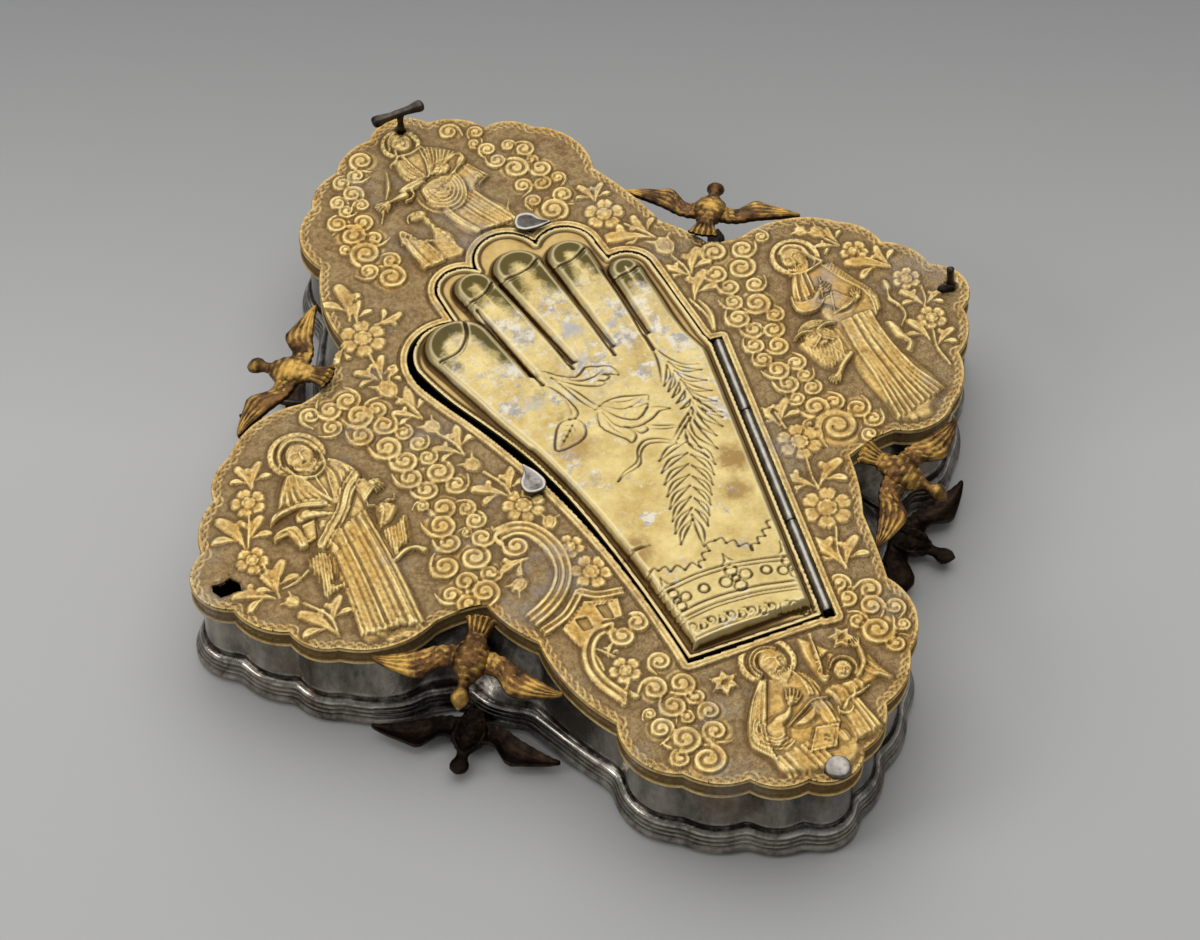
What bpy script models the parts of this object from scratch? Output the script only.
"""A silver and gilt reliquary case: a low lobed cross, with a hinged door in the shape of a hand.

Lengths are in millimetres and become metres as each mesh is made. +Y points to the finger-end arm,
and the origin lies in the middle of the underside.
"""
import math

import bmesh
import bpy
from mathutils import Matrix, Vector

for leftover in list(bpy.data.objects):
    bpy.data.objects.remove(leftover, do_unlink=True)

MM = 0.001
GAP = 0.3                    # air left between pieces that touch

# Driving sizes
CASE_HEIGHT = 36.0           # floor to the ground of the cover plate
PLATE = 1.2                  # thickness of the cover plate
SKIRT = 7.0                  # depth of the cover plate's moulded rim
WALL = 1.2                   # thickness of the silver wall and of the case floor
WALL_INSET = 2.6             # from the plate's edge in to the outer face of the wall
BASE_FLARE = 1.8             # how far the foot moulding stands out past the plate's edge
DOOR_GAP = 0.9               # between the door and the edge of its opening
DOOR_SHEET = 1.0             # thickness of the embossed door
HAND_RISE = 3.2              # height of the embossed hand over its flange
FRAME_WIDTH = 2.4            # raised strip round the opening
FRAME_RISE = 0.8
BARREL_RADIUS = 1.6          # hinge knuckles
HINGE_PIN_RADIUS = 0.7
LATCH_RADIUS = 3.8
LATCH_SHEET = 1.0

TOP = CASE_HEIGHT
DOOR_TOP = TOP - 0.1         # upper face of the door's flange
HINGE_Z = TOP + 0.4          # height of the hinge axis
HINGE_START = Vector((49.2, 12.1))
HINGE_END = Vector((26.6, -98.2))

# Corners between the lobes of the edge, anticlockwise from the right tip, each with the swell of the
# lobe that follows it and the number of flats that lobe has.
LOBES = [
    (127.0, 10.0, 2.6, 2), (118.0, 26.0, 2.3, 2), (109.5, 40.5, 4.5, 3), (80.0, 49.5, -1.0, 1),
    (67.0, 52.0, 1.0, 1), (58.0, 67.5, 1.2, 2), (49.5, 99.5, 5.5, 3), (40.0, 126.5, 2.6, 2),
    (26.0, 133.5, 2.6, 2), (9.5, 144.5, 6.0, 3),
    (-11.5, 145.5, 2.6, 2), (-27.5, 137.0, 2.6, 2), (-41.5, 126.0, 5.5, 3), (-50.0, 100.5, 3.0, 2),
    (-57.0, 67.5, 1.5, 1), (-66.0, 56.0, -1.0, 1), (-80.0, 50.0, 4.5, 3), (-109.0, 40.5, 2.5, 2),
    (-120.0, 27.0, 2.6, 2), (-131.5, 9.5, 8.0, 3),
    (-131.5, -14.5, 2.6, 2), (-120.0, -30.0, 2.5, 2), (-109.5, -42.0, 4.5, 3), (-80.0, -46.5, -1.0, 1),
    (-63.0, -48.0, 1.5, 1), (-55.5, -67.5, 3.0, 2), (-48.5, -104.5, 5.5, 3), (-40.0, -129.5, 2.6, 2),
    (-23.5, -140.0, 2.6, 2), (-8.5, -148.0, 5.5, 3),
    (11.0, -146.0, 2.6, 2), (25.0, -135.0, 2.6, 2), (41.5, -121.0, 5.5, 3), (49.0, -95.0, 0.3, 1),
    (55.0, -70.0, 0.8, 1), (63.0, -48.0, -1.0, 1), (81.0, -45.5, 4.5, 3), (103.0, -44.0, 2.5, 2),
    (115.5, -27.0, 2.6, 2), (126.5, -11.0, 7.0, 3),
]

# Lobes of the door's flange round the fingers: centre x, centre y, radius, from the little finger
FINGER_LOBES = [(38.0, 53.0, 8.5), (24.5, 71.0, 10.0), (6.0, 76.0, 11.0), (-12.5, 70.5, 9.0)]
# Thumb lobe, then the curve of the side below it: two guides and the lower corner
DOOR_LEFT = ((-26.6, 45.6, 14.7), (-34.9, 7.0), (-18.5, 14.1), (-18.6, -94.5))
OPENING_LEFT = ((-28.8, 46.5, 15.6), (-43.0, 30.0), (-20.5, -25.0), (-19.0, -94.5))

# Embossed fingers, thumb first: tip centre, tip radius, root centre, root radius
FINGERS = [((-25.2, 46.8), 11.0, (-19.5, 16.0), 8.6), ((-9.2, 67.2), 6.8, (-4.0, 30.0), 6.2),
           ((6.0, 69.0), 7.6, (10.2, 30.0), 6.4), ((23.4, 66.2), 7.2, (24.0, 30.0), 5.8),
           ((37.0, 52.6), 5.3, (36.6, 30.0), 5.4)]

# Fastenings at the tips of the arms: centre x, centre y, shank radius
TOP_PIN = (0.0, 144.9, 1.4)
RIGHT_PEG = (128.0, -1.0, 1.3)
RIVET = (0.9, -148.6, 1.0)
SHANK_DEPTH = 9.0            # how far the pin and the peg reach down through the plate
LOST_PIN_HOLE = [(-134.3, -5.0), (-133.0, -8.2), (-126.4, -8.6), (-125.6, -5.6), (-127.6, -2.4),
                 (-131.0, -3.2), (-133.6, -2.6)]

# Latches: name, pivot x, pivot y, direction of the beak in degrees
LATCHES = [("side_latch", -30.2, -14.0, 88.0), ("top_latch", 17.6, 86.2, -26.0)]
LATCH_REACH = 8.4            # from the pivot to the point of the beak

# Birds and pegs at the four inner corners: name, middle of the upper bird, its heading, inner corner
# of the wall, heading of the peg
CORNERS = [("north_east", (74.6, 64.4), 51.5, (67.0, 52.0), 47.0),
           ("north_west", (-76.4, 64.2), 131.0, (-66.0, 56.0), 143.0),
           ("south_west", (-75.8, -63.1), 229.0, (-63.0, -48.0), 224.0),
           ("south_east", (74.0, -60.4), -56.0, (63.0, -48.0), -66.0)]
BIRD_SPAN = 29.6             # middle to wing tip
UPPER_BIRD_DROP = 0.9        # middle of an upper bird below the plate
UPPER_BIRD_PITCH = 12.0
LOWER_BIRD_SHIFT = 4.6       # how much further out a lower bird lies
LOWER_BIRD_HEIGHT = 4.4
UPPER_TAIL, LOWER_TAIL = 13.0, 7.0
PEG_DROP = 16.0              # corner pegs below the plate


# ---------------------------------------------------------------- plane geometry
def arc_points(start, end, swell, steps):
    """Points from start up to, not including, end, on an arc that swells to the right of the way."""
    start, end = Vector(start), Vector(end)
    chord = end - start
    side = Vector((chord.y, -chord.x)).normalized()
    radius = (chord.length_squared / 4 + swell * swell) / (2 * abs(swell))
    centre = (start + end) / 2 - side * math.copysign(radius - abs(swell), swell)
    first = math.atan2(start.y - centre.y, start.x - centre.x)
    last = math.atan2(end.y - centre.y, end.x - centre.x)
    turn = (last - first + math.pi) % (2 * math.pi) - math.pi
    angles = [first + turn * k / steps for k in range(steps)]
    return [centre + radius * Vector((math.cos(angle), math.sin(angle))) for angle in angles]


def lobed_edge():
    """The edge of the cover plate, anticlockwise."""
    points = []
    for (x, y, swell, steps), after in zip(LOBES, LOBES[1:] + LOBES[:1]):
        points += arc_points((x, y), after[:2], swell, steps)
    return points


def offset(outline, distance):
    """A closed outline moved outwards (or inwards, when negative) along its own normals."""
    moved = []
    for k, point in enumerate(outline):
        way = outline[(k + 1) % len(outline)] - outline[k - 1]
        moved.append(point + Vector((way.y, -way.x)).normalized() * distance)
    return moved


def circle(x, y, radius, steps=10, second_radius=None, turn=0.0):
    """A round or oval outline, turned by an angle in degrees."""
    across = radius if second_radius is None else second_radius
    ease = math.radians(turn)
    points = []
    for k in range(steps):
        angle = 2 * math.pi * k / steps
        px, py = radius * math.cos(angle), across * math.sin(angle)
        points.append(Vector((x + px * math.cos(ease) - py * math.sin(ease),
                              y + px * math.sin(ease) + py * math.cos(ease))))
    return points


def bezier(a, b, c, d, steps):
    """Points on a cubic curve, both ends included."""
    a, b, c, d = map(Vector, (a, b, c, d))
    points = []
    for k in range(steps + 1):
        t = k / steps
        points.append(a * (1 - t) ** 3 + b * 3 * t * (1 - t) ** 2 + c * 3 * t * t * (1 - t) + d * t ** 3)
    return points


def crossing(first, second):
    """The outer crossing of two overlapping circles, each given as (x, y, radius)."""
    a, b = Vector(first[:2]), Vector(second[:2])
    apart = (b - a).length
    along = (first[2] ** 2 - second[2] ** 2 + apart ** 2) / (2 * apart)
    rise = math.sqrt(first[2] ** 2 - along ** 2)
    way = (b - a) / apart
    return a + way * along + Vector((way.y, -way.x)) * rise


def circle_run(lobe, start, end, steps):
    """Points on a circle from start anticlockwise to end, the end left out."""
    centre = Vector(lobe[:2])
    first = math.atan2(start.y - centre.y, start.x - centre.x)
    last = math.atan2(end.y - centre.y, end.x - centre.x)
    turn = (last - first) % (2 * math.pi)
    angles = [first + turn * k / steps for k in range(steps)]
    return [centre + lobe[2] * Vector((math.cos(angle), math.sin(angle))) for angle in angles]


def hinge_point(along, aside=0.0):
    """A point on the hinge line, along it from its upper end and aside from it to the right."""
    way = (HINGE_END - HINGE_START).normalized()
    return HINGE_START + way * along + Vector((-way.y, way.x)) * aside


HINGE_LENGTH = (HINGE_END - HINGE_START).length
KNUCKLE_CUTS = (30.4, 76.6)  # distances of the two cuts from the upper end of the barrel
DOOR_SETBACK = BARREL_RADIUS + GAP + 0.1


def door_outline(thumb, upper_guide, lower_guide, bottom_left):
    """The flange of the door, anticlockwise from its lower right corner."""
    lobes = FINGER_LOBES
    right_top = hinge_point(0.0, -DOOR_SETBACK)
    right_bottom = hinge_point(HINGE_LENGTH, -DOOR_SETBACK)
    shoulder = Vector((lobes[0][0] + lobes[0][2], 19.0))
    little, ring, middle, index = lobes
    points = [right_bottom, right_top, shoulder, Vector((shoulder.x, little[1]))]
    little_end = Vector((ring[0] + ring[2] + 0.4, 61.1))
    points += circle_run(little, points[-1], little_end, 4)[1:] + [little_end]
    ring_start = Vector((ring[0] + ring[2], ring[1]))
    joins = [crossing(ring, middle), crossing(middle, index)]
    points += circle_run(ring, ring_start, joins[0], 4) + circle_run(middle, joins[0], joins[1], 5)
    index_end = Vector((index[0] - index[2], index[1]))
    points += circle_run(index, joins[1], index_end, 4) + [index_end]
    thumb_start = Vector((index_end.x, 60.4))
    thumb_end = Vector((thumb[0] - thumb[2], thumb[1]))
    points += circle_run(thumb, thumb_start, thumb_end, 6)
    points += bezier(thumb_end, upper_guide, lower_guide, bottom_left, 9)
    return points


def prism_rings(outline, low, high):
    """The two rings of an upright prism."""
    return [(outline, low), (outline, high)]


# ---------------------------------------------------------------- meshes and objects
def fill(mesh, rings):
    """One closed body through rings of (outline, height), capped at both ends."""
    loops = []
    for outline, height in rings:
        loops.append([mesh.verts.new((p.x * MM, p.y * MM, height * MM)) for p in outline])
    mesh.faces.new(list(reversed(loops[0])))
    for lower, upper in zip(loops, loops[1:]):
        for k in range(len(lower)):
            after = (k + 1) % len(lower)
            mesh.faces.new((lower[k], lower[after], upper[after], upper[k]))
    mesh.faces.new(loops[-1])


def sleeve(mesh, rings):
    """One closed body round a hole, through rings of (outline, height) that run once round its section."""
    loops = []
    for outline, height in rings:
        loops.append([mesh.verts.new((p.x * MM, p.y * MM, height * MM)) for p in outline])
    for lower, upper in zip(loops, loops[1:] + loops[:1]):
        for k in range(len(lower)):
            after = (k + 1) % len(lower)
            mesh.faces.new((lower[k], lower[after], upper[after], upper[k]))


def material(name, colour, roughness):
    """A plain metal finish."""
    finish = bpy.data.materials.new(name)
    finish.use_nodes = True
    shader = finish.node_tree.nodes["Principled BSDF"]
    shader.inputs["Base Color"].default_value = (*colour, 1.0)
    shader.inputs["Roughness"].default_value = roughness
    shader.inputs["Metallic"].default_value = 1.0
    return finish


GILT = material("gilt", (0.62, 0.42, 0.16), 0.38)
PALE_GILT = material("pale_gilt", (0.76, 0.62, 0.28), 0.3)
SILVER = material("tarnished_silver", (0.33, 0.31, 0.28), 0.4)
WORN_SILVER = material("worn_silver", (0.55, 0.53, 0.48), 0.35)
BIRD_GILT = material("bird_gilt", (0.36, 0.2, 0.06), 0.5)
BIRD_DARK = material("bird_dark", (0.1, 0.07, 0.045), 0.6)
IRON = material("dark_iron", (0.06, 0.05, 0.045), 0.6)


def make_object(name, mesh, finish):
    """Turn a bmesh into a named object."""
    bmesh.ops.remove_doubles(mesh, verts=mesh.verts, dist=1e-6)
    data = bpy.data.meshes.new(name)
    mesh.to_mesh(data)
    mesh.free()
    thing = bpy.data.objects.new(name, data)
    bpy.context.collection.objects.link(thing)
    if finish:
        data.materials.append(finish)
    return thing


def solid(name, rings, finish):
    """A named object with one closed body."""
    mesh = bmesh.new()
    fill(mesh, rings)
    return make_object(name, mesh, finish)


def guide(name, *bodies):
    """A hidden operand for a Boolean, made of one or more closed bodies."""
    mesh = bmesh.new()
    for rings in bodies:
        fill(mesh, rings)
    thing = make_object(name, mesh, None)
    thing.hide_render = True
    thing.display_type = "WIRE"
    return thing


def combine(thing, operand, operation, overlapping=False):
    step = thing.modifiers.new(operand.name, "BOOLEAN")
    step.object = operand
    step.operation = operation
    step.solver = "EXACT"
    step.use_self = overlapping


EDGE = lobed_edge()
DOOR = door_outline(*DOOR_LEFT)
OPENING = door_outline(*OPENING_LEFT)


# ---------------------------------------------------------------- the silver case
def build_case():
    """Wall with one convex flute to each lobe, foot moulding of torus, hollow and bead, and the floor."""
    inner = -(WALL_INSET + WALL)
    brim = TOP - PLATE - GAP
    profile = [(1.0, 0.0), (BASE_FLARE, 1.2), (BASE_FLARE, 3.6), (-0.8, 6.2), (0.3, 8.8),
               (-WALL_INSET, 10.8), (-WALL_INSET, brim), (inner, brim), (inner, 0.0)]
    mesh = bmesh.new()
    sleeve(mesh, [(offset(EDGE, out), z) for out, z in profile])
    make_object("case_wall", mesh, SILVER)
    solid("case_floor", prism_rings(offset(EDGE, inner - GAP), 0.0, WALL), SILVER)


# ---------------------------------------------------------------- relief of the cover plate
SINK = 0.5                   # how far the foot of a relief form lies under the ground


def mound(outline, rise, shoulder):
    """A low swelling form on the plate: sloping flank and flat crown."""
    return [(outline, TOP - SINK), (offset(outline, -shoulder), TOP + rise)]


def peak(outline, rise, crest):
    """A low form on the plate that rises to one point."""
    return [(outline, TOP - SINK), ([Vector(crest)] * len(outline), TOP + rise)]


def petals(x, y, radius, count=5, turn=0.0):
    """A flower with pointed petals round its middle."""
    outline = []
    for k in range(count * 2):
        angle = math.radians(turn) + math.pi * k / count
        reach = radius if k % 2 == 0 else radius * 0.62
        outline.append(Vector((x, y)) + reach * Vector((math.cos(angle), math.sin(angle))))
    return peak(outline, 1.7, (x, y))


def leaf(x, y, turn, length):
    """A pointed leaf with its highest line along the middle."""
    half = length * 0.17
    way = Vector((math.cos(math.radians(turn)), math.sin(math.radians(turn))))
    side = Vector((-way.y, way.x))
    root = Vector((x, y))
    middle = root + way * length * 0.45
    return peak([root, middle - side * half, root + way * length, middle + side * half], 1.3, middle)


def sprays(places):
    """Leaves in pairs: x, y, direction of the stem in degrees, length."""
    forms = []
    for x, y, turn, length in places:
        forms += [leaf(x, y, turn + 38, length), leaf(x, y, turn - 38, length)]
    return forms


def ridge(points, width, rise):
    """A raised moulding that follows a line, thick in the middle and narrowing to its ends."""
    line = [Vector(point) for point in points]
    last = len(line) - 1
    left_outer, left_crown, right_outer, right_crown = [], [], [], []
    for k, point in enumerate(line):
        way = (line[min(k + 1, last)] - line[max(k - 1, 0)]).normalized()
        side = Vector((-way.y, way.x)) * width / 2 * (0.55 + 0.45 * math.sin(math.pi * k / last))
        left_outer.insert(0, point + side)
        left_crown.insert(0, point + side * 0.4)
        right_outer.append(point - side)
        right_crown.append(point - side * 0.4)
    return [(right_outer + left_outer, TOP - SINK), (right_crown + left_crown, TOP + rise)]


def curl(x, y, radius, level):
    """One curl of cloud, its crest off its middle."""
    crest = (x + radius * 0.3 * math.cos(level * 2.0), y + radius * 0.3 * math.sin(level * 2.0))
    return peak(circle(x, y, radius, 5, turn=x * 7 + y * 3), 1.5 + 0.11 * (level % 4), crest)


def cloud_band(path, radius, spread, rows):
    """Scrolling cloud: curls side by side along a curve."""
    curls = []
    line = bezier(*path, rows - 1)
    for k, point in enumerate(line):
        way = (line[min(k + 1, rows - 1)] - line[max(k - 1, 0)]).normalized()
        side = Vector((-way.y, way.x))
        for sign in (-1, 1):
            place = point + side * sign * spread + way * radius * 0.5 * sign
            curls.append(curl(place.x, place.y, radius * (1.0 + 0.08 * math.sin(2.1 * k + sign)), k + sign))
    return curls


def arc_line(x, y, radius, start, end, steps):
    """Points on an arc between two angles in degrees."""
    angles = [math.radians(start + (end - start) * k / steps) for k in range(steps + 1)]
    return [Vector((x + radius * math.cos(angle), y + radius * math.sin(angle))) for angle in angles]


def saint(x, head_y, foot_y, shoulder, hem, lean, halo):
    """A robed figure: halo, head and beard, cloak, sleeves and hanging folds."""
    tall = head_y - foot_y
    neck = head_y - halo * 0.75
    knee = foot_y + tall * 0.35
    arm = neck - tall * 0.16
    collar = neck - tall * 0.02
    body = [Vector(p) for p in ((x + lean + hem, foot_y), (x + lean * 0.5 + hem * 0.8, knee),
                                (x + shoulder, arm), (x + shoulder * 0.6, collar),
                                (x - shoulder * 0.6, collar), (x - shoulder, arm),
                                (x + lean * 0.5 - hem * 0.85, knee), (x + lean - hem, foot_y))]
    beard = circle(x, head_y - halo * 0.66, halo * 0.42, 6, halo * 0.3, 90)
    forms = [mound(circle(x, head_y, halo, 9), 0.7, 1.4), mound(body, 1.6, 1.6),
             mound(circle(x, head_y - 0.5, halo * 0.5, 7, halo * 0.4, 90), 2.9, halo * 0.2),
             peak(beard, 2.6, (x, head_y - halo * 0.6))]
    chest = neck - tall * 0.17
    for sign in (-1, 1):
        sleeve = [(x + sign * shoulder * 0.8, neck - tall * 0.06),
                  (x + sign * shoulder * 0.95, chest - tall * 0.06),
                  (x + sign * shoulder * 0.1, chest + tall * 0.015 * sign - 2.0)]
        forms.append(ridge(sleeve, 5.4, 2.7))
    for side in (-1, 0, 1):
        fold = [(x + side * hem * 0.4, foot_y + tall * 0.46), (x + lean + side * hem * 0.62, foot_y + 1.5)]
        forms.append(ridge(fold, 6.0, 2.3 + 0.1 * side))
    return forms


def clouds():
    """Cloud bands beside the four saints and under the hand."""
    bands = (((-73, 43), (-56, 30), (-62, 0), (-59, -20), 4.7, 6),
             ((-66, -29), (-63, -33), (-68, -36), (-66, -41), 5.0, 2),
             ((69, 44), (64, 25), (60, 0), (66, -18), 4.8, 6),
             ((68, -26), (66, -30), (70, -34), (72, -39), 5.0, 2),
             ((-19, 138), (-34, 128), (-40, 112), (-31, 86), 4.6, 6),
             ((14, 136), (24, 124), (34, 110), (31, 90), 4.6, 5),
             ((-28, -95), (-31, -104), (-31, -116), (-29, -126), 4.9, 3),
             ((36, -91), (38, -97), (40, -104), (40, -110), 4.6, 2))
    forms = []
    for start, first_pull, second_pull, end, spread, rows in bands:
        forms += cloud_band((start, first_pull, second_pull, end), spread - 0.3, spread, rows)
    return forms


def plants():
    """Flowers and leafy stems that fill the ground."""
    flowers = ((-51, 66, 7.4), (-113, 22, 5.2), (-119, 1, 4.0), (-36, -20, 6.6), (-32, -42, 5.2),
               (-30, -52, 6.4), (-38, -89, 5.2), (43, 79, 6.2), (54, 54, 4.0), (52, -36, 7.0),
               (46, -62, 7.6), (109, 26, 4.6), (115, -11, 4.6))
    forms = [petals(x, y, radius, turn=x * 5) for x, y, radius in flowers]
    return forms + sprays([(-42, 72, 30, 13), (-54, 50, 80, 10), (-44, 8, 80, 10), (-108, 28, 60, 9),
                           (-118, 8, 100, 9), (-110, -32, 70, 10), (44, 84, 90, 9), (52, -24, 90, 10),
                           (48, -49, 90, 10), (42, -78, 90, 11), (112, 17, 120, 8)])


def beasts():
    """Ox at the left, lion at the right, eagle above, and the angel and two stars below."""
    ox = [mound(circle(-102, -13, 8.5, 8, 4.5, 80), 1.9, 1.5),
          mound(circle(-75, -3, 4.6, 7, 6.0), 2.3, 1.6),
          mound(circle(-75, -14, 3.5, 6, 5.5), 1.9, 1.2)]
    lion = [mound(circle(79, -1, 6.6, 8), 1.9, 1.6),
            mound(circle(79, -2.5, 3.4, 6, 3.0), 2.9, 1.2),
            mound(circle(104, -12, 7.0, 7, 3.6, 100), 1.7, 1.3),
            ridge([(77, -9), (84, -14), (77, -18)], 3.6, 1.9)]
    eagle = [mound(circle(-15, 92, 4.2, 8, 9.0, -8), 1.9, 1.6),
             mound(circle(-11.5, 105, 2.6, 6, 3.2), 2.2, 1.0)]
    angel = [mound(circle(20, -119, 3.4, 7), 2.4, 1.2), mound(circle(21, -130, 6.0, 8, 7.0), 1.8, 1.6),
             ridge([(17, -120), (13, -112), (13, -104)], 5.0, 1.6)]
    stars = [petals(-14, -107, 4.0, 6, 15.0), petals(25, -108, 4.0, 6, 15.0)]
    return ox + lion + eagle + angel + stars


def scrolls():
    """Shell scrolls beside the hand and the little house between them."""
    eaves = [(-50, -65), (-37, -58), (-25, -63)]
    gable = [Vector(p) for p in ((-30, -72), (-29, -63), (-37, -59), (-46, -65), (-44, -74))]
    return [ridge(arc_line(-49, -40, 12.5, 95, -55, 7), 6.0, 1.9),
            ridge(arc_line(-33, -86, 14.0, 60, 215, 7), 5.0, 1.9),
            ridge(arc_line(-32, -77, 5.5, 170, -60, 5), 3.6, 1.7),
            ridge(eaves, 4.0, 2.0),
            mound(gable, 1.2, 0.6)]


def relief_forms():
    saints = (saint(-89.5, 32, -43, 13.5, 12.0, 1.0, 9.0) + saint(89, 32, -43, 12.0, 12.5, 3.5, 8.5)
              + saint(-1, 137, 91, 11.5, 13.0, 4.0, 6.8) + saint(2.5, -106, -143, 12.5, 13.0, 1.0, 7.8))
    return clouds() + plants() + saints + beasts() + scrolls()


# ---------------------------------------------------------------- cover plate
def build_cover():
    """Flat plate with a moulded rim that grips the wall, a framed opening and pierced tips."""
    inner = -(WALL_INSET - 0.4)
    profile = [(inner, TOP - PLATE), (inner, TOP - SKIRT), (-0.2, TOP - SKIRT + 0.3), (-1.2, TOP - 3.8),
               (0.0, TOP - 2.2), (-0.7, TOP)]
    cover = solid("cover_plate", [(offset(EDGE, out), z) for out, z in profile], GILT)
    frame = offset(OPENING, DOOR_GAP + FRAME_WIDTH)
    combine(cover, guide("frame_strip", prism_rings(frame, TOP - 0.6, TOP + FRAME_RISE)), "UNION")
    combine(cover, guide("relief", *relief_forms()), "UNION", overlapping=True)
    opening = offset(OPENING, DOOR_GAP)
    opening[0] = hinge_point(HINGE_LENGTH + DOOR_GAP, BARREL_RADIUS + GAP)
    opening[1] = hinge_point(-DOOR_GAP, BARREL_RADIUS + GAP)
    combine(cover, guide("hand_opening", prism_rings(opening, TOP - 4, TOP + 6)), "DIFFERENCE")
    holes = [prism_rings([Vector(p) for p in LOST_PIN_HOLE], TOP - 4, TOP + 6)]
    for x, y, radius in (TOP_PIN, RIGHT_PEG, RIVET):
        holes.append(prism_rings(circle(x, y, radius + GAP, 8), TOP - 4, TOP + 6))
    combine(cover, guide("pin_holes", *holes), "DIFFERENCE")


# ---------------------------------------------------------------- hand door and hinge
def finger_outline(tip, tip_radius, root, root_radius):
    """A round-ended tapering outline, anticlockwise."""
    tip, root = Vector(tip), Vector(root)
    heading = math.atan2(tip.y - root.y, tip.x - root.x)
    points = []
    for k in range(6):
        angle = heading - math.pi / 2 + math.pi * k / 5
        points.append(tip + tip_radius * Vector((math.cos(angle), math.sin(angle))))
    for k in range(4):
        angle = heading + math.pi / 2 + math.pi * k / 3
        points.append(root + root_radius * Vector((math.cos(angle), math.sin(angle))))
    return points


def hand_forms(drop):
    """The embossed fingers and palm, lowered by drop to hollow them from below."""
    foot = DOOR_TOP - 0.4 - drop
    forms = []
    for tip, tip_radius, root, root_radius in FINGERS:
        outline = finger_outline(tip, tip_radius, root, root_radius)
        flank = offset(outline, -tip_radius * 0.16)
        crown = offset(outline, -tip_radius * 0.5)
        forms.append([(outline, foot), (flank, DOOR_TOP + HAND_RISE * 0.6 - drop),
                      (crown, DOOR_TOP + HAND_RISE - drop)])
    palm = [hinge_point(HINGE_LENGTH - 4.0, -4.2), hinge_point(3.0, -4.6), Vector((42.0, 20.0)),
            Vector((41.5, 32.0)), Vector((36.0, 25.0)), Vector((-8.0, 24.5)), Vector((-18.0, 28.0)),
            Vector((-29.5, 24.0))]
    palm += bezier((-29.0, 16.0), (-24.0, -2.0), (-16.5, -25.0), (-15.5, -91.5), 6)
    forms.append([(palm, foot), (offset(palm, -1.0), DOOR_TOP + HAND_RISE * 0.55 - drop),
                  (offset(palm, -3.4), DOOR_TOP + HAND_RISE * 0.9 - drop)])
    return forms


def seat(thing, x, y, z):
    """Put an object's origin at a point of its joint axis and leave its shape where it is."""
    pivot = Vector((x, y, z)) * MM
    thing.data.transform(Matrix.Translation(-pivot))
    thing.location = pivot


def build_door():
    """Flat flange with the hand raised on it and hollowed from below to the same thickness."""
    door = solid("hand_door", prism_rings(DOOR, DOOR_TOP - DOOR_SHEET, DOOR_TOP), PALE_GILT)
    seat(door, *HINGE_START, HINGE_Z)
    combine(door, guide("hand_front", *hand_forms(0.0)), "UNION", overlapping=True)
    combine(door, guide("hand_back", *hand_forms(DOOR_SHEET)), "DIFFERENCE", overlapping=True)


def turned_bar(name, stations, finish, sides, place):
    """A closed turned bar along Z through (radius, z) stations, then moved by a matrix."""
    mesh = bmesh.new()
    fill(mesh, [(circle(0, 0, radius, sides), z) for radius, z in stations])
    bmesh.ops.transform(mesh, matrix=place, verts=mesh.verts)
    return make_object(name, mesh, finish)


def hinge_frame(along):
    """Placement that lays a bar along the hinge line, starting at a distance from its upper end."""
    spot = hinge_point(along)
    way = Vector((*(HINGE_END - HINGE_START).normalized(), 0))
    turn = Vector((0, 0, 1)).rotation_difference(way).to_matrix().to_4x4()
    return Matrix.Translation(Vector((spot.x, spot.y, HINGE_Z)) * MM) @ turn


def knuckle(name, start, end):
    """A tube round the hinge line between two distances from its upper end."""
    sides = 8
    length = end - start - GAP
    bore = HINGE_PIN_RADIUS + GAP
    mesh = bmesh.new()
    sleeve(mesh, [(circle(0, 0, BARREL_RADIUS, sides), 0.0), (circle(0, 0, BARREL_RADIUS, sides), length),
                  (circle(0, 0, bore, sides), length), (circle(0, 0, bore, sides), 0.0)])
    bmesh.ops.transform(mesh, matrix=hinge_frame(start), verts=mesh.verts)
    return make_object(name, mesh, WORN_SILVER)


def build_hinge():
    """Three knuckles and the pin that they turn on; the middle one belongs to the door."""
    knuckle("hinge_knuckle_upper", 0.0, KNUCKLE_CUTS[0])
    seat(knuckle("hinge_knuckle_middle", *KNUCKLE_CUTS), *HINGE_START, HINGE_Z)
    knuckle("hinge_knuckle_lower", KNUCKLE_CUTS[1], HINGE_LENGTH)
    stations = [(HINGE_PIN_RADIUS, -1.4), (HINGE_PIN_RADIUS, HINGE_LENGTH - 1.6)]
    turned_bar("hinge_pin", stations, IRON, 8, hinge_frame(0.0))


# ---------------------------------------------------------------- latches and tip fastenings
def build_latch(name, x, y, beak):
    """A comma-shaped tongue on a short boss; beak is the direction that its point faces, in degrees."""
    heading = math.radians(beak)
    way = Vector((math.cos(heading), math.sin(heading)))
    side = Vector((-way.y, way.x))
    middle = Vector((x, y))
    outline = arc_line(x, y, LATCH_RADIUS, beak + 48, beak + 312, 8)
    outline += [middle + way * LATCH_REACH * 0.72 - side * 1.5, middle + way * LATCH_REACH - side * 0.2,
                middle + way * LATCH_REACH * 0.66 + side * 0.9]
    foot = TOP + FRAME_RISE + GAP * 2
    low = foot + GAP
    latch = solid(name, [(outline, low), (outline, low + LATCH_SHEET * 0.7),
                         (offset(outline, -0.25), low + LATCH_SHEET)], WORN_SILVER)
    seat(latch, x, y, low)
    boss = circle(x - way.x * 1.2, y - way.y * 1.2, 1.5, 8)
    combine(latch, guide(name + "_boss", prism_rings(boss, foot, low + 0.4)), "UNION")


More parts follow.
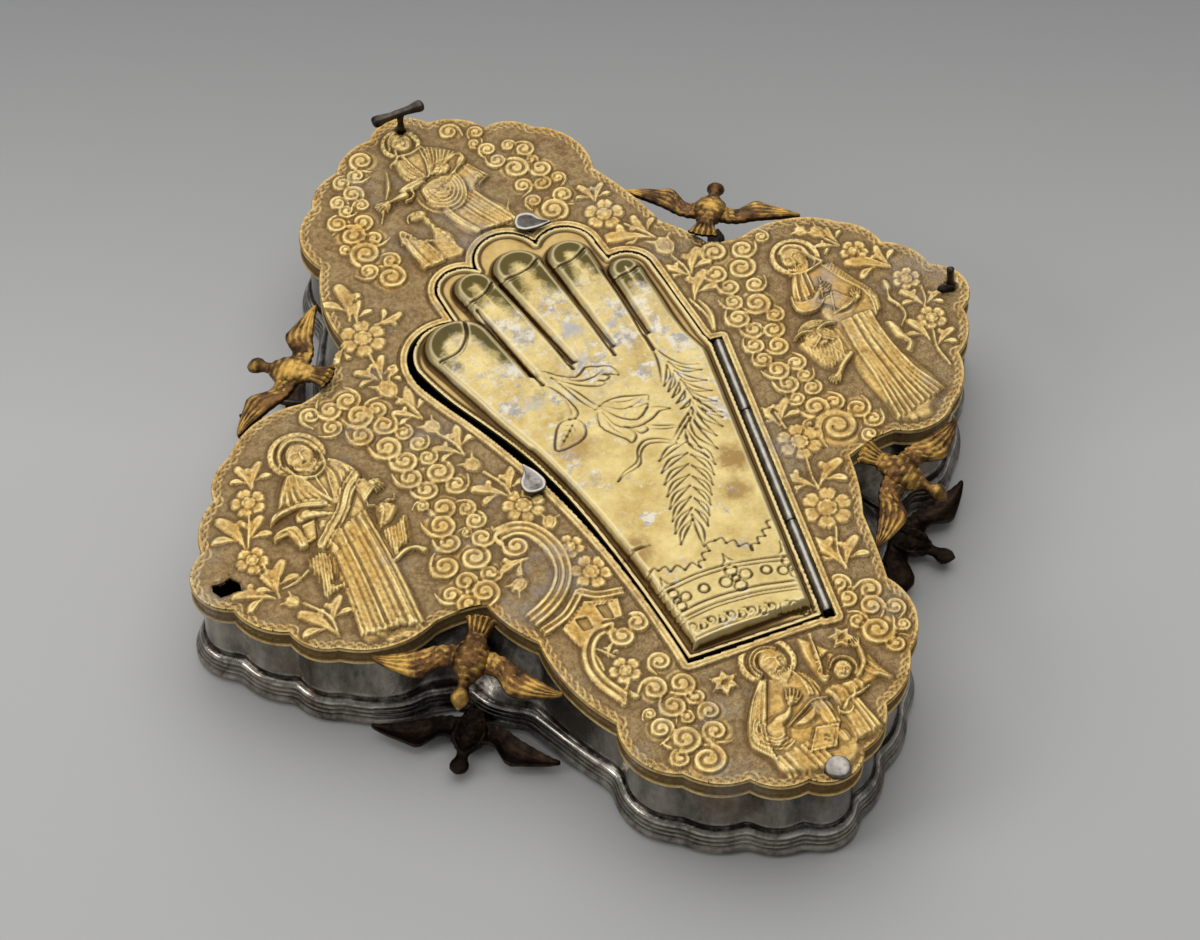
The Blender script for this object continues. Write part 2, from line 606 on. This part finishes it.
def build_toggle_pin():
    """Upright stem with a bar across its top; the bar's ends are spread like spoons."""
    x, y, shank = TOP_PIN
    stations = [(shank, TOP - SHANK_DEPTH), (shank, TOP + 0.5), (shank * 0.8, TOP + 3.0),
                (shank * 0.85, TOP + 7.6)]
    stem = turned_bar("top_toggle_pin", stations, IRON, 8, Matrix.Translation((x * MM, y * MM, 0)))
    stations = [(1.9, -9.2), (2.2, -8.0), (1.7, -4.0), (1.7, 4.0), (2.2, 8.0), (1.9, 9.2)]
    place = Matrix.Translation(Vector((x - 0.6, y + 0.4, TOP + 8.2)) * MM)
    bar = turned_bar("toggle_bar", stations, None, 8, place @ Matrix.Rotation(math.radians(90), 4, "Y"))
    bar.hide_render = True
    bar.display_type = "WIRE"
    combine(stem, bar, "UNION")


def build_peg_and_rivet():
    """Leaning peg with its foot spread to one side, and a rivet with a low round head."""
    x, y, shank = RIGHT_PEG
    lean = Matrix.Translation(Vector((x, y, TOP)) * MM) @ Matrix.Shear("XY", 4, (0.0, 0.1))
    stations = [(shank, -SHANK_DEPTH), (shank, 0.2), (shank * 1.15, 1.2), (shank * 0.9, 6.0),
                (shank * 0.85, 7.4)]
    peg = turned_bar("right_tip_peg", stations, IRON, 8, lean)
    foot = [(circle(x - 1.6, y - 0.4, 3.4, 8, 1.7, 12), TOP + GAP),
            (circle(x - 1.6, y - 0.4, 2.7, 8, 1.2, 12), TOP + 1.6)]
    combine(peg, guide("peg_foot", foot), "UNION")
    x, y, shank = RIVET
    stations = [(shank, TOP - PLATE), (shank, TOP + GAP), (3.9, TOP + GAP), (3.9, TOP + 1.3),
                (3.1, TOP + 1.8)]
    place = Matrix.Translation((x * MM, y * MM, 0))
    turned_bar("bottom_tip_rivet", stations, WORN_SILVER, 10, place)


# ---------------------------------------------------------------- birds and pegs in the four corners
def bird_forms(tail):
    """A spread bird in its own frame: head to +Y, back up, wings to both sides, tail to -Y."""
    head = [Vector(p) for p in ((-1.9, 6.0), (1.9, 6.0), (1.6, 10.4), (2.9, 13.4), (0.0, 16.3),
                                (-2.9, 13.4), (-1.6, 10.4))]
    fan = [Vector(p) for p in ((2.6, -4.0), (-2.6, -4.0), (-5.2, -tail), (0.0, -tail - 1.2), (5.2, -tail))]
    forms = [[(head, -1.8), (offset(head, -0.6), 1.9)], [(fan, 0.0), (offset(fan, -0.6), 2.0)]]
    right_wing = [Vector(p) for p in ((3.0, -2.2), (13.0, -1.4), (BIRD_SPAN, 5.4), (14.5, 9.2), (3.0, 4.0))]
    left_wing = [Vector((-p.x, p.y)) for p in reversed(right_wing)]
    for wing in (right_wing, left_wing):
        forms.append([(wing, -1.6), (offset(wing, -0.8), 1.5)])
    return forms


def build_bird(name, x, y, z, heading, pitch, tail, flipped, finish):
    """A bird with its head, wings and tail joined to its body; flipped lays it on its back."""
    place = (Matrix.Translation(Vector((x, y, z)) * MM) @ Matrix.Rotation(math.radians(heading - 90), 4, "Z")
             @ Matrix.Rotation(math.radians(-pitch), 4, "X"))
    if flipped:
        place = place @ Matrix.Rotation(math.pi, 4, "Y")
    limbs = guide(name + "_limbs", *bird_forms(tail))
    limbs.data.transform(place)
    bird = solid(name, [(circle(0, 0, 4.4, 6, 6.8), -2.4), (circle(0, 0, 5.8, 6, 8.4), 0.2),
                        (circle(0, 0, 2.6, 6, 4.0), 3.6)], finish)
    bird.data.transform(place)
    combine(bird, limbs, "UNION", overlapping=True)


def build_corners():
    for name, (x, y), heading, (corner_x, corner_y), peg_heading in CORNERS:
        build_bird("upper_bird_" + name, x, y, TOP - UPPER_BIRD_DROP, heading, UPPER_BIRD_PITCH, UPPER_TAIL,
                   False, BIRD_GILT)
        out = Vector((math.cos(math.radians(heading)), math.sin(math.radians(heading)))) * LOWER_BIRD_SHIFT
        build_bird("lower_bird_" + name, x + out.x, y + out.y, LOWER_BIRD_HEIGHT, heading, 0.0, LOWER_TAIL,
                   True, BIRD_DARK)
        way = Vector((math.cos(math.radians(peg_heading)), math.sin(math.radians(peg_heading)), 0))
        turn = Vector((0, 0, 1)).rotation_difference(way).to_matrix().to_4x4()
        place = Matrix.Translation(Vector((corner_x, corner_y, TOP - PEG_DROP)) * MM) @ turn
        stations = [(0.9, GAP * 2 - WALL_INSET), (0.9, 17.0), (0.7, 19.5)]
        turned_bar("corner_peg_" + name, stations, IRON, 6, place)


build_case()
build_cover()
build_door()
build_hinge()
for latch_name, pivot_x, pivot_y, beak_heading in LATCHES:
    build_latch(latch_name, pivot_x, pivot_y, beak_heading)
build_toggle_pin()
build_peg_and_rivet()
build_corners()
